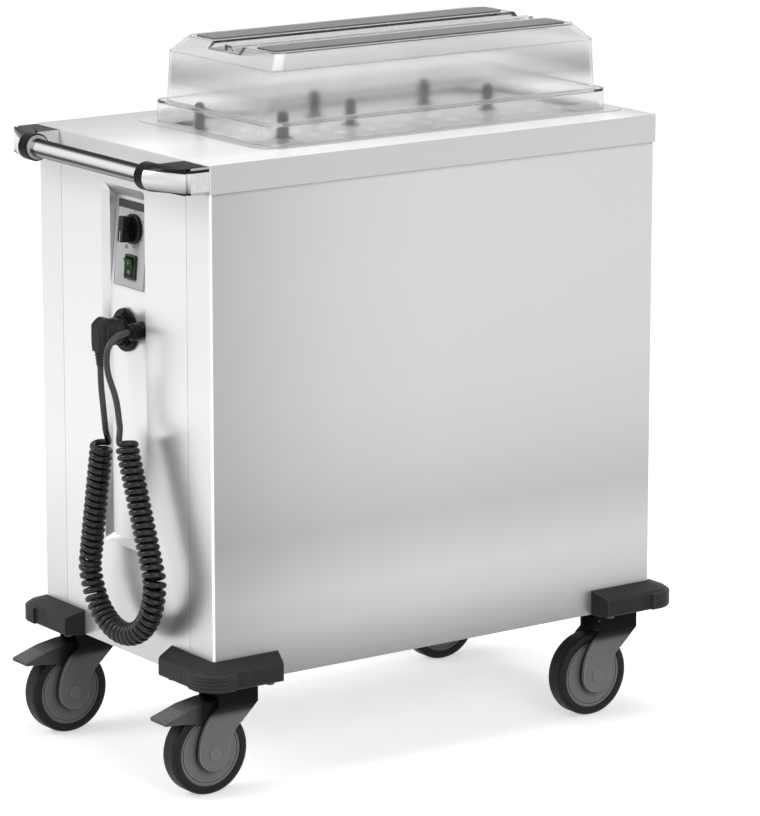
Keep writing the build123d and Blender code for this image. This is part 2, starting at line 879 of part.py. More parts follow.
def make_gland():
    nut = extrude(RegularPolygon(gland_radius, 6, rotation=30), gland_nut)
    sleeve = Pos(0, 0, gland_nut) * extrude(Circle(gland_radius - gland_shoulder), gland_length - gland_nut)
    sleeve = fillet(sleeve.edges().sort_by(Axis.Z)[-1], gland_round)
    gland = nut + sleeve
    return facing(gland_x, gland_z, recess_back) * gland


# Cord

def curl_tangent(lean):
    """Downward direction of a cord end that leans by so many degrees towards +X."""
    angle = math.radians(lean)
    return Vector(math.sin(angle), 0, -math.cos(angle))


loop_centre = Vector(loop_centre_x, loop_y, loop_centre_z)
entry_point = loop_centre + Vector(curl_entry[0], 0, curl_entry[1])
entry_way = curl_tangent(curl_entry_lean)
leave_point = loop_centre + Vector(curl_leave[0], 0, curl_leave[1])
leave_way = curl_tangent(curl_leave_lean)
gland_tip = recess_back - gland_length
entry_end = entry_point - entry_way * cord_diameter
leave_end = leave_point - leave_way * cord_diameter


def gland_route():
    """Out of the gland, down through an even bend, then across to the first curl."""
    y = gland_tip - gland_bend_step
    z = gland_z
    route = [(gland_x, gland_tip, gland_z), (gland_x, y, z)]
    for step in range(1, gland_bend_steps):
        angle = math.pi / 2 * step / gland_bend_steps
        y -= gland_bend_step * math.cos(angle)
        z -= gland_bend_step * math.sin(angle)
        route.append((gland_x, y, z))
    route.append((gland_x, y, z - gland_drop))
    return route + [tuple(entry_end - entry_way * gland_run), tuple(entry_end)]


gland_lead_route = gland_route()
plug_lead_route = [
    (holder_x, plug_mid_y, boot_end),
    (holder_x, plug_mid_y, boot_end - boot_drop),
    tuple(leave_end - leave_way * boot_run),
    tuple(leave_end),
]


def make_lead(name, route):
    points = [Vector(*point) for point in route]
    radii = []
    for before, here, after in zip(points, points[1:], points[2:]):
        arriving = here - before
        leaving = after - here
        half_turn = math.radians(arriving.get_angle(leaving)) / 2
        radii.append(0.45 * min(arriving.length, leaving.length) / math.tan(half_turn))
    path = FilletPolyline(*points, radius=radii)
    section = Plane(origin=points[0], z_dir=points[1] - points[0]) * Circle(cord_diameter / 2)
    lead = sweep(section, path=path)
    ideal = path.length * math.pi * cord_diameter ** 2 / 4
    print(name, "radii", [round(radius) for radius in radii], "length", round(path.length))
    print(name, "volume ratio", round(lead.volume / ideal, 4))
    return lead


def loop_geometry():
    """Tangent points and lengths of the two legs and the bend of the curly loop."""
    legs = []
    for (x, z), side in ((loop_start, 1), (loop_finish, -1)):
        away = Vector(-x, 0, -z)
        lean = math.asin(loop_radius / away.length) + side * math.atan2(away.X, -away.Z)
        length = math.sqrt(away.length ** 2 - loop_radius ** 2)
        legs.append((length, lean))
    return legs


(right_length, right_lean), (left_length, left_lean) = loop_geometry()
bend_angle = math.pi + right_lean + left_lean
bend_length = loop_radius * bend_angle
right_turns = round(right_length / leg_pitch)
bend_turns = round(bend_length / bend_pitch)
left_turns = round(left_length / leg_pitch) + 0.5
total_turns = right_turns + bend_turns + left_turns


def loop_frame(turn):
    """Point on the loop's centre line after so many curls, with the outward direction there."""
    if turn <= right_turns:
        along = right_length * turn / right_turns
        way = Vector(math.sin(right_lean), 0, -math.cos(right_lean))
        outward = Vector(math.cos(right_lean), 0, math.sin(right_lean))
        return loop_centre + Vector(loop_start[0], 0, loop_start[1]) + way * along, outward
    if turn <= right_turns + bend_turns:
        angle = right_lean - bend_angle * (turn - right_turns) / bend_turns
        outward = Vector(math.cos(angle), 0, math.sin(angle))
        return loop_centre + outward * loop_radius, outward
    along = left_length * (total_turns - turn) / left_turns
    way = Vector(-math.sin(left_lean), 0, -math.cos(left_lean))
    outward = Vector(-math.cos(left_lean), 0, math.sin(left_lean))
    return loop_centre + Vector(loop_finish[0], 0, loop_finish[1]) + way * along, outward


def curl_point(turn):
    centre, outward = loop_frame(turn)
    phase = 2 * math.pi * turn
    front = Vector(0, -1, 0)
    return centre + front * (curl_radius * math.cos(phase)) + outward * (curl_radius * math.sin(phase))


def curl_way(turn):
    step = 0.01
    ahead = curl_point(min(turn + step, total_turns))
    behind = curl_point(max(turn - step, 0))
    return (ahead - behind).normalized()


def biarc(start, start_way, end, end_way):
    """Two arcs that meet smoothly between two points with given directions."""
    chord = end - start
    both = start_way + end_way
    square = 2 * (1 - start_way.dot(end_way))
    along = chord.dot(both)
    if square < 1e-9:
        reach = chord.dot(chord) / (4 * chord.dot(end_way))
    else:
        reach = (math.sqrt(along ** 2 + square * chord.dot(chord)) - along) / square
    first = start + start_way * reach
    second = end - end_way * reach
    middle = (first + second) / 2
    return [
        TangentArc(start, middle, tangent=start_way),
        TangentArc(middle, end, tangent=(second - first).normalized()),
    ]


def make_curls():
    stations = [(entry_point, entry_way)]
    for index in range(int(2 * total_turns) + 1):
        stations.append((curl_point(index / 2), curl_way(index / 2)))
    stations.append((leave_point, leave_way * -1))
    edges = [Line(entry_end, entry_point)]
    for (start, start_way), (end, end_way) in zip(stations, stations[1:]):
        edges += biarc(start, start_way, end, end_way)
    edges.append(Line(leave_point, leave_end))
    path = Wire(edges)
    report_gap(path)
    section = Plane(origin=entry_end, z_dir=entry_way) * Circle(cord_diameter / 2)
    curls = sweep(section, path=path)
    ideal = path.length * math.pi * cord_diameter ** 2 / 4
    print("curls", total_turns, "length", round(path.length), "volume ratio", round(curls.volume / ideal, 4))
    return curls


def report_gap(path):
    """Prints the least gap between neighbouring turns, measured on points along the wire."""
    count = int(total_turns * 24)
    points = [path.position_at(index / count) for index in range(count + 1)]
    least = min(
        (points[i] - points[j]).length
        for i in range(len(points))
        for j in range(i + 12, min(i + 60, len(points)))
    )
    print("least gap between curls", round(least - cord_diameter, 2))


# Bumpers

def bumper_route(run):
    """Path round the cabinet corner, so far along each side."""
    return FilletPolyline(
        (panel_x - run, -panel_y, bumper_low), (panel_x, -panel_y, bumper_low),
        (panel_x, -panel_y + run, bumper_low), radius=panel_corner,
    )


def bumper_section(run, points):
    start = Plane(origin=(panel_x - run, -panel_y, bumper_low), x_dir=(0, -1, 0), z_dir=(-1, 0, 0))
    return start * make_face(Polyline(*points, close=True))


def to_corner(bumper, side_x, side_y):
    if side_x < 0:
        bumper = mirror(bumper, Plane.YZ)
    if side_y > 0:
        bumper = mirror(bumper, Plane.XZ)
    return bumper


def make_bumper(side_x, side_y):
    """A corner bumper: two arms, a ribbed knuckle round the corner and a scored line on each arm."""
    depth = bumper_depth
    rise = bumper_face_height
    foot = bumper_foot_edge
    arm_points = [
        (0, 0), (depth - foot, 0), (depth, foot), (depth, rise),
        (depth - bumper_edge, rise + bumper_edge_rise), (0, bumper_height),
    ]
    bumper = sweep(bumper_section(bumper_arm, arm_points), path=bumper_route(bumper_arm))
    proud = depth + knuckle_proud
    edge = knuckle_edge
    face = [(depth / 2, 0), (proud - edge, 0), (proud, edge)]
    pitch = (rise - 2 * edge) / knuckle_grooves
    for index in range(knuckle_grooves):
        level = edge + pitch * (index + 0.5)
        low = level - groove_size / 2
        high = level + groove_size / 2
        face += [(proud, low), (proud - groove_size, level), (proud, high)]
    face += [(proud, rise - edge), (proud - edge, rise), (depth / 2, rise)]
    knuckle = panel_corner + knuckle_run
    bumper += sweep(bumper_section(knuckle, face), path=bumper_route(knuckle))
    out = depth - score_depth
    near = score_from_corner
    far = near + score_width
    top = bumper_low + rise
    clear = 2 * depth
    bumper -= block((panel_x - far, -panel_y - clear, bumper_low), (panel_x - near, -panel_y - out, top))
    bumper -= block((panel_x + out, -panel_y + near, bumper_low), (panel_x + clear, -panel_y + far, top))
    beyond = 2 * bumper_arm
    wide = 1.5
    reach = wide * depth
    slant = [(bumper_arm, 0), (bumper_arm - wide * bumper_end_slant, reach), (beyond, reach), (beyond, 0)]
    front_end = [(panel_x - along, -panel_y - away) for along, away in slant]
    side_end = [(panel_x + away, -panel_y + along) for along, away in slant]
    for outline in (front_end, side_end):
        bumper -= extrude(make_face(Polyline(*outline, close=True)), worktop_height)
    return to_corner(bumper, side_x, side_y)


def make_bumper_bolts():
    bolts = []
    along = bumper_arm - bolt_from_end
    out = bumper_depth / 2
    for side_x in (-1, 1):
        for side_y in (-1, 1):
            for x, y in ((panel_x - along, panel_y + out), (panel_x + out, panel_y - along)):
                head = extrude(RegularPolygon(bolt_radius, 6), bolt_height)
                bolts.append(Pos(side_x * x, side_y * y, bumper_low - bolt_height) * head)
    return Compound(bolts)


# Castors

def make_castor_plates():
    plates = []
    for x, y in castor_places:
        size = (castor_plate_width, castor_plate_length, castor_plate_corner)
        plate = slab(*size, castor_plate_low, body_bottom)
        head_low = crown_low - swivel_gap - kingpin_head
        pin = Pos(0, 0, head_low) * extrude(Circle(kingpin_radius), body_bottom - head_low)
        head = Pos(0, 0, head_low) * extrude(Circle(kingpin_head_radius), kingpin_head)
        plates.append(Pos(x, y, 0) * (plate + pin + head))
    return Compound(plates)


def make_fork(place, braked):
    """One castor fork, its swivel on the origin and its axle trailing towards the handle."""
    axle = -castor_trail
    foot = fork_foot
    neck = (axle + fork_neck, wheel_z + fork_neck_rise)
    cheek = (axle - fork_cheek, wheel_z + fork_neck_rise)
    knee_z = wheel_z + fork_knee_rise
    front_edge = axle + fork_front
    back = fork_back
    profile = make_face(
        ThreePointArc((axle + foot, wheel_z), (axle + fork_bulge, wheel_z + fork_bulge_rise), neck)
        + Polyline(neck, (back, knee_z), (back, crown_top), (front_edge, crown_top), (front_edge, knee_z))
        + ThreePointArc((front_edge, knee_z), cheek, (axle - foot, wheel_z))
        + ThreePointArc((axle - foot, wheel_z), (axle, wheel_z - foot), (axle + foot, wheel_z))
    )
    arm = Plane.YZ * profile
    fork = extrude(Pos(fork_inner, 0, 0) * arm, fork_arm)
    fork += extrude(Pos(-fork_outer, 0, 0) * arm, fork_arm)
    fork += block((-fork_outer, front_edge, crown_top - crown_sheet), (fork_outer, back, crown_top))
    fork += Pos(0, 0, crown_low) * extrude(Circle(housing_radius), crown_top - crown_low)
    fork -= Cylinder(kingpin_radius + running_fit, 4 * crown_top)
    fork -= rod((-2 * fork_outer, axle, wheel_z), (2 * fork_outer, axle, wheel_z), axle_radius + running_fit)
    if braked:
        pivot = (-pedal_pivot_back, pedal_pivot_z)
        fork -= rod((-2 * fork_outer, *pivot), (2 * fork_outer, *pivot), pedal_pin_radius + running_fit)
    return Pos(*place, 0) * fork


def turned(place, points):
    """A ring turned about a castor's axle from (radius, across) points."""
    profile = make_face(Polyline(*[(across, radius) for radius, across in points], close=True))
    ring = revolve(profile, Axis.X)
    return Pos(place[0], place[1] - castor_trail, wheel_z) * Rot(90, 0, 0) * ring


def make_axle(place):
    half = fork_outer + axle_cap
    points = [
        (0, -half), (axle_cap_radius, -half), (axle_cap_radius, -fork_outer), (axle_radius, -fork_outer),
        (axle_radius, fork_outer), (axle_cap_radius, fork_outer), (axle_cap_radius, half), (0, half),
    ]
    return turned(place, points)


def make_wheel(place):
    half = hub_width / 2
    web = tyre_width / 2 - web_inset
    groove_out = rim_radius - rim_ledge
    groove_in = groove_out - rim_groove
    floor = web - rim_groove_depth
    side = [
        (axle_radius + running_fit, half), (hub_radius, half), (hub_radius, web), (groove_in, web),
        (groove_in, floor), (groove_out, floor), (groove_out, web), (rim_radius, web),
    ]
    return turned(place, side + [(radius, -across) for radius, across in reversed(side)])


def make_tyre(place):
    half = tyre_width / 2
    cut = tyre_round * (1 - math.sqrt(0.5))
    side = [
        (rim_radius, half), (wheel_radius - tyre_round, half), (wheel_radius - cut, half - cut),
        (wheel_radius, half - tyre_round),
    ]
    return turned(place, side + [(radius, -across) for radius, across in reversed(side)])


def make_pedal(place):
    """The brake pedal: a channel over the tyre on stub pins in the fork, with a ribbed tread at its tip."""
    pivot_y = -pedal_pivot_back
    tip_top = pedal_pivot_z - pedal_tip_drop + pedal_tip_thickness / 2
    tip_low = tip_top - pedal_tip_thickness
    corners = (pedal_head, pedal_knee, pedal_web, pedal_heel)
    head, knee, web, heel = [(-back, pedal_pivot_z + rise) for back, rise in corners]
    tip = -pedal_reach
    outline = make_face(
        Polyline(
            (pivot_y, pedal_pivot_z + pedal_eye), head, knee, (tip, tip_top), (tip, tip_low),
            web, heel, (pivot_y, pedal_pivot_z - pedal_eye), close=True,
        )
    )
    outline += Pos(pivot_y, pedal_pivot_z) * Circle(pedal_eye)
    half = pedal_width / 2
    pedal = extrude(Plane.YZ * outline, half, both=True)
    above = pedal_pivot_z + 3 * pedal_eye
    hollow = make_face(
        Polyline(
            (0, 0), (0, above), (-pedal_hood, above), (-pedal_hood, head[1] - pedal_wall),
            (head[0], head[1] - pedal_wall), (knee[0], knee[1] - pedal_wall),
            (-pedal_hollow, web[1]), (-pedal_hollow, 0), close=True,
        )
    )
    pedal -= extrude(Plane.YZ * hollow, half - pedal_wall, both=True)
    slope = Vector(0, tip - knee[0], tip_top - knee[1]).normalized()
    tread = Plane(origin=(0, tip, tip_top), x_dir=(1, 0, 0), z_dir=slope.cross(Vector(1, 0, 0)))
    rib_length = pedal_width - 4 * pedal_wall
    for index in range(tread_ribs):
        rib = Box(rib_length, tread_rib_width, 2 * tread_rib_height)
        pedal += tread * Pos(0, tread_pitch * (index + 1), 0) * rib
    pin = rod((-fork_outer, pivot_y, pedal_pivot_z), (fork_outer, pivot_y, pedal_pivot_z), pedal_pin_radius)
    inner = half - pedal_wall
    pin -= block((-inner, -worktop_length, 0), (inner, worktop_length, worktop_height))
    return Pos(*place, 0) * (pedal + pin)


# Heater

def make_heater():
    pitch = 2 * heater_half_width / (heater_runs - 1)
    level = body_bottom + 2 * sheet + heater_height
    edges = []
    for run in range(heater_runs):
        x = -heater_half_width + pitch * run
        way = 1 if run % 2 == 0 else -1
        start = (x, well_offset - way * heater_half_length, level)
        end = (x, well_offset + way * heater_half_length, level)
        edges.append(Line(start, end))
        if run < heater_runs - 1:
            peak = (x + pitch / 2, well_offset + way * (heater_half_length + pitch / 2), level)
            edges.append(ThreePointArc(end, peak, (x + pitch, end[1], level)))
    path = Wire(edges)
    section = Plane(origin=path @ 0, z_dir=path % 0) * Circle(heater_radius)
    return sweep(section, path=path)


def make_heater_brackets():
    floor = body_bottom + 2 * sheet
    level = floor + heater_height
    pitch = 2 * heater_half_width / (heater_runs - 1)
    brackets = []
    for way in (-1, 1):
        y = well_offset + way * bracket_from_middle
        near = y - bracket_slot
        far = y + bracket_slot
        half = heater_half_width + 4 * heater_radius
        plate = block((-half, y - sheet, floor), (half, y + sheet, level + heater_radius))
        for run in range(heater_runs):
            x = -heater_half_width + pitch * run
            plate -= rod((x, near, level), (x, far, level), heater_radius + running_fit)
            open_top = level + 2 * heater_radius
            plate -= block((x - heater_radius, near, level), (x + heater_radius, far, open_top))
        brackets.append(plate)
    return Compound(brackets)


# Output

parts = {
    "worktop": make_worktop(),
    "side_panel_left": make_side_panel(-1),
    "side_panel_right": make_side_panel(1),
    "operator_panel": make_operator_panel(),
    "rear_panel": make_rear_panel(),
    "base_tray": make_base_tray(),
    "well_liner": make_well_liner(),
    "well_floor": make_well_floor(),
    "corner_tabs": make_corner_tabs(),
    "platform": make_platform(),
    "guide_pins": make_guide_pins(),
    "platform_carriage": make_carriage(),
    "lift_springs": make_springs(),
    "spring_hangers": make_hangers(),
    "heater_element": make_heater(),
    "heater_brackets": make_heater_brackets(),
    "lid": make_lid(),
    "lid_strips": make_lid_strips(),
    "handle_tube": make_handle_tube(),
    "handle_collars": make_collars(),
    "control_plate": make_control_plate(),
    "thermostat_knob": make_knob(),
    "thermostat_body": make_thermostat(),
    "switch_bezel": make_switch_bezel(),
    "switch_rocker": make_rocker(),
    "plug_holder": make_plug_holder(),
    "cable_gland": make_gland(),
    "plug": make_plug(),
    "plug_boot": make_plug_boot(),
    "cord_gland_lead": make_lead("gland lead", gland_lead_route),
    "cord_plug_lead": make_lead("plug lead", plug_lead_route),
    "cord_coil": make_curls(),
    "bumper_bolts": make_bumper_bolts(),
    "castor_plates": make_castor_plates(),
}
for side, side_name in ((-1, "left"), (1, "right")):
    parts[f"handle_bracket_{side_name}"] = make_bracket(side)
    parts[f"handle_cover_{side_name}"] = make_cover(side)
    for way, way_name in ((-1, "front"), (1, "rear")):
        corner = f"{way_name}_{side_name}"
        place = (side * castor_x, way * castor_y)
        parts[f"bumper_{corner}"] = make_bumper(side, way)
        parts[f"castor_fork_{corner}"] = make_fork(place, way < 0)
        parts[f"castor_axle_{corner}"] = make_axle(place)
        parts[f"castor_wheel_{corner}"] = make_wheel(place)
        parts[f"castor_tyre_{corner}"] = make_tyre(place)
    parts[f"brake_pedal_{side_name}"] = make_pedal((side * castor_x, -castor_y))

os.makedirs("parts", exist_ok=True)
for name, part in parts.items():
    export_step(Pos(0, body_y, 0) * part, f"parts/{name}.step")
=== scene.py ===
import bmesh
import bpy
import math
from mathutils import Matrix, Vector


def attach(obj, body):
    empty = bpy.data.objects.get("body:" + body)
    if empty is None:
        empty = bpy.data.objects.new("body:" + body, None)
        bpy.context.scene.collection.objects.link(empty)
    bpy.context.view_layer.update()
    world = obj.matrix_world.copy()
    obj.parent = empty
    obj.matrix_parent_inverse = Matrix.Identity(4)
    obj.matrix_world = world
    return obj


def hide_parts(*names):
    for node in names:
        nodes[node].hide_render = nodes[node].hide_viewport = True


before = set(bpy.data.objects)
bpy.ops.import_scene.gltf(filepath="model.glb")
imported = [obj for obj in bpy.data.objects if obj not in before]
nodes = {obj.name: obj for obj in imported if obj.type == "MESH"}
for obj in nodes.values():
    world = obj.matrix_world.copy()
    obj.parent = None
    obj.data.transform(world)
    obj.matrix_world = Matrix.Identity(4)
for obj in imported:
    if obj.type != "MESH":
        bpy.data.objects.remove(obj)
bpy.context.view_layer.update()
scene = bpy.context.scene
scene.view_settings.view_transform = "Standard"

# Camera at the photograph's angle
AZIMUTH = math.radians(54.654)
ELEVATION = math.radians(12.73)
DISTANCE = 6.617
LENS = 199.5
FAR_CLIP = 60
MIDDLE = Vector((0, 0.0191, 0.52))
AIM_RIGHT, AIM_DOWN = 0.0455, 0.0481

look = Vector((
    -math.sin(AZIMUTH) * math.cos(ELEVATION),
    math.cos(AZIMUTH) * math.cos(ELEVATION),
    -math.sin(ELEVATION),
))
right = Vector((math.cos(AZIMUTH), math.sin(AZIMUTH), 0))
up = right.cross(look)
centre = MIDDLE + right * AIM_RIGHT - up * AIM_DOWN
camera_data = bpy.data.cameras.new("camera")
camera_data.lens = LENS
camera_data.clip_end = FAR_CLIP
camera = bpy.data.objects.new("camera", camera_data)
camera.location = centre - look * DISTANCE
camera.rotation_euler = look.to_track_quat("-Z", "Y").to_euler()
scene.collection.objects.link(camera)
scene.camera = camera


# Cord: a straight lead from the gland, a hanging loop of curls, and a straight lead to the plug
CORD_DIAMETER = 0.009
LOOP_Y = -0.4049
GLAND_LEAD = [
    (0.0358, -0.3814, 0.638), (0.0358, -0.3939, 0.638), (0.0358, -0.40545, 0.63322),
    (0.0358, -0.41429, 0.62438), (0.0358, -0.41907, 0.61283), (0.0358, -0.41907, 0.58483),
    (0.03723, LOOP_Y, 0.54812), (0.04421, LOOP_Y, 0.51382), (0.0462, LOOP_Y, 0.504),
]
PLUG_LEAD = [
    (0.0078, LOOP_Y, 0.4935), (0.00644, LOOP_Y, 0.50286), (0.00123, LOOP_Y, 0.53241),
    (-0.008, -0.4024, 0.562), (-0.008, -0.4024, 0.585),
]
LOOP = [
    (0.062, 0.487), (0.083, 0.432), (0.104, 0.377), (0.125, 0.322), (0.1345, 0.2969),
    (0.1212, 0.2452), (0.0803, 0.2106), (0.027, 0.206), (-0.0192, 0.2332), (-0.0411, 0.282),
    (-0.0359, 0.3083), (-0.0251, 0.3632), (-0.0143, 0.4181), (-0.0035, 0.473),
]
LOOP_RESOLUTION = 24
CURL_RADIUS = 0.0125
LEG_CURLS = (18, 16.5)
LEG_LENGTHS = (0.1767, 0.168)
BEND_CURLS = 28
POINTS_PER_CURL = 12


def smooth_curve(name, points):
    """A smooth open curve whose control points are the given ones, each with the cord's radius."""
    data = bpy.data.curves.new(name, "CURVE")
    data.dimensions = "3D"
    spline = data.splines.new("NURBS")
    spline.points.add(len(points) - 1)
    for point, place in zip(spline.points, points):
        point.co = (*place, 1)
        point.radius = CORD_DIAMETER / 2
    spline.order_u = 3
    spline.use_endpoint_u = True
    piece = bpy.data.objects.new(name, data)
    scene.collection.objects.link(piece)
    return piece


def loop_points():
    """Points read from the loop's middle line, whose curve is then removed."""
    guide = smooth_curve("loop_guide", [(x, LOOP_Y, z) for x, z in LOOP])
    guide.data.resolution_u = LOOP_RESOLUTION
    mesh = bpy.data.meshes.new_from_object(guide)
    places = [vertex.co.copy() for vertex in mesh.vertices]
    bpy.data.meshes.remove(mesh)
    data = guide.data
    bpy.data.objects.remove(guide)
    bpy.data.curves.remove(data)
    return places


def along(places, distances, distance):
    """Point and direction at a distance along a row of points."""
    for index in range(len(places) - 2):
        if distances[index + 1] >= distance:
            break
    else:
        index = len(places) - 2
    span = places[index + 1] - places[index]
    share = (distance - distances[index]) / span.length
    return places[index] + span * share, span.normalized()


def curl_points():
    """Control points of the curls, wound round the loop's middle line."""
    places = loop_points()
    distances = [0.0]
    for before, after in zip(places, places[1:]):
        distances.append(distances[-1] + (after - before).length)
    total = distances[-1]
    bend = total - sum(LEG_LENGTHS)
    curls = sum(LEG_CURLS) + BEND_CURLS
    # The curve runs inside its control points, so these lie a little further out than the curls
    control_radius = CURL_RADIUS / (0.75 + 0.25 * math.cos(2 * math.pi / POINTS_PER_CURL))
    front = Vector((0, -1, 0))
    points = []
    for index in range(int(curls * POINTS_PER_CURL) + 1):
        turn = index / POINTS_PER_CURL
        if turn <= LEG_CURLS[0]:
            distance = LEG_LENGTHS[0] * turn / LEG_CURLS[0]
        elif turn <= LEG_CURLS[0] + BEND_CURLS:
            distance = LEG_LENGTHS[0] + bend * (turn - LEG_CURLS[0]) / BEND_CURLS
        else:
            distance = total - LEG_LENGTHS[1] * (curls - turn) / LEG_CURLS[1]
        middle, way = along(places, distances, distance)
        outward = Vector((-way.z, 0, way.x))
        phase = 2 * math.pi * turn
        arm = front * (control_radius * math.cos(phase)) + outward * (control_radius * math.sin(phase))
        points.append(middle + arm)
    return points


cord = smooth_curve("cord", GLAND_LEAD + [tuple(point) for point in curl_points()] + PLUG_LEAD)
# The points carry the tube's radius, so that the curve's own box is no wider than the tube
cord.data.bevel_depth = 1.0
cord.data.bevel_resolution = 4
cord.data.resolution_u = 4
cord.data.use_fill_caps = True
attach(cord, "cabinet")
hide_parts("cord_gland_lead", "cord_coil", "cord_plug_lead")


# Materials

def grey(level):
    return (level, level, level)


class Maker:
    """A material with a principled shader and short ways to add nodes to it."""

    SOCKETS = {
        "metallic": "Metallic", "rough": "Roughness", "ior": "IOR", "transmission": "Transmission Weight",
        "anisotropic": "Anisotropic", "specular": "Specular IOR Level",
    }

    def __init__(self, name):
        self.material = bpy.data.materials.new(name)
        self.material.use_nodes = True
        self.tree = self.material.node_tree
        self.shader = self.tree.nodes["Principled BSDF"]
        self.place = self.add("ShaderNodeTexCoord").outputs["Object"]

    def add(self, kind, **settings):
        node = self.tree.nodes.new(kind)
        for key, value in settings.items():
            setattr(node, key, value)
        return node

    def link(self, source, target):
        self.tree.links.new(source, target)

    def set(self, **values):
        for key, value in values.items():
            self.shader.inputs[self.SOCKETS[key]].default_value = value

    def color(self, source):
        self.link(source, self.shader.inputs["Base Color"])

    def rough(self, source):
        self.link(source, self.shader.inputs["Roughness"])

    def noise(self, scale, detail=4.0, stretch=None):
        node = self.add("ShaderNodeTexNoise")
        node.inputs["Scale"].default_value = scale
        node.inputs["Detail"].default_value = detail
        place = self.place
        if stretch:
            mapping = self.add("ShaderNodeMapping")
            mapping.inputs["Scale"].default_value = stretch
            self.link(place, mapping.inputs["Vector"])
            place = mapping.outputs["Vector"]
        self.link(place, node.inputs["Vector"])
        return node.outputs["Fac"]

    def between(self, value, low, high, start=0.3, end=0.7):
        """A number that runs from low to high as value runs from start to end."""
        node = self.add("ShaderNodeMapRange")
        node.inputs["From Min"].default_value = start
        node.inputs["From Max"].default_value = end
        node.inputs["To Min"].default_value = low
        node.inputs["To Max"].default_value = high
        self.link(value, node.inputs["Value"])
        return node.outputs["Result"]

    def greys(self, value, *stops):
        """A ramp of greys, each stop a position and a level."""
        node = self.add("ShaderNodeValToRGB")
        elements = node.color_ramp.elements
        while len(elements) < len(stops):
            elements.new(0.5)
        for element, (position, level) in zip(elements, stops):
            element.position = position
            element.color = (*grey(level), 1)
        self.link(value, node.inputs["Fac"])
        return node.outputs["Color"]

    def mix(self, share, first, second):
        node = self.add("ShaderNodeMix", data_type="RGBA")
        for source, target in ((share, 0), (first, 6), (second, 7)):
            if isinstance(source, tuple):
                node.inputs[target].default_value = (*source, 1)
            else:
                self.link(source, node.inputs[target])
        return node.outputs[2]

    def times(self, first, second):
        """One colour multiplied by another."""
        node = self.add("ShaderNodeMix", data_type="RGBA", blend_type="MULTIPLY")
        node.inputs[0].default_value = 1.0
        self.link(first, node.inputs[6])
        self.link(second, node.inputs[7])
        return node.outputs[2]

    def product(self, first, second):
        """One number multiplied by another."""
        node = self.add("ShaderNodeMath", operation="MULTIPLY")
        self.link(first, node.inputs[0])
        self.link(second, node.inputs[1])
        return node.outputs[0]

    def size(self, value):
        """A number without its sign."""
        node = self.add("ShaderNodeMath", operation="ABSOLUTE")
        self.link(value, node.inputs[0])
        return node.outputs[0]

    def axis(self, source, letter):
        node = self.add("ShaderNodeSeparateXYZ")
        self.link(source, node.inputs[0])
        return node.outputs[letter]

    def normal(self):
        return self.add("ShaderNodeNewGeometry").outputs["True Normal"]

    def run(self, letter, start, end):
        """0 to 1 as the place runs from start to end along an axis."""
        return self.between(self.axis(self.place, letter), 0.0, 1.0, start, end)

    def facing(self, letter, start, end):
        """0 to 1 as the face turns towards either end of an axis."""
        return self.between(self.size(self.axis(self.normal(), letter)), 0.0, 1.0, start, end)

    def corner(self):
        """1 on the round of an upright corner, 0 on the faces beside it."""
        normal = self.normal()
        both = self.product(self.size(self.axis(normal, "X")), self.size(self.axis(normal, "Y")))
        return self.between(both, 0.0, 1.0, 0.20, 0.40)

    def painted_crease_shade(self, reach, dark):
        """Painted shade: white in the open, darker in corners and gaps narrower than reach."""
        node = self.add("ShaderNodeAmbientOcclusion", samples=8)
        node.inputs["Distance"].default_value = reach
        return self.greys(node.outputs["AO"], (0.15, dark), (0.8, 1.0))

    def rounded(self, radius):
        """Normals that catch the light on edges as if these were rounded by radius."""
        node = self.add("ShaderNodeBevel", samples=4)
        node.inputs["Radius"].default_value = radius
        self.link(node.outputs["Normal"], self.shader.inputs["Normal"])
        return node.outputs["Normal"]

    def edges(self, radius):
        """0 on open faces, rising to 1 on edges no rounder than radius."""
        node = self.add("ShaderNodeBevel", samples=6)
        node.inputs["Radius"].default_value = radius
        turn = self.add("ShaderNodeVectorMath", operation="DOT_PRODUCT")
        self.link(node.outputs["Normal"], turn.inputs[0])
        self.link(self.normal(), turn.inputs[1])
        return self.between(turn.outputs["Value"], 1.0, 0.0, 0.80, 0.97)

    def bump(self, height, strength, edge):
        node = self.add("ShaderNodeBump")
        node.inputs["Strength"].default_value = strength
        node.inputs["Distance"].default_value = GRAIN_DEPTH
        self.link(height, node.inputs["Height"])
        self.link(self.rounded(edge), node.inputs["Normal"])
        self.link(node.outputs["Normal"], self.shader.inputs["Normal"])


GRAIN_DEPTH = 0.0003
STEEL_ANISOTROPY = 0.2
CREASE_SHADE_DARK = 0.35
EDGE_HIGHLIGHT_REACH = 2.5

# Directions of the brushed grain, as scales of its noise along X, Y and Z
UPRIGHT_GRAIN = (900, 900, 6)
LENGTHWISE_GRAIN = (900, 6, 900)
ACROSS_GRAIN = (6, 900, 900)
EVEN_GRAIN = (300, 300, 300)
SHEATH_GRAIN = (300, 60, 300)

# Reach of the cabinet, the worktop and the lid, over which their tones run
BODY_LOW, WORKTOP_TOP, LID_TOP = 0.163, 0.900, 1.026
FRONT_Y, REAR_Y = -0.370, 0.410
HALF_WIDTH = 0.226

CORNERS = ("front_left", "front_right", "rear_left", "rear_right")
SIDES = ("left", "right")


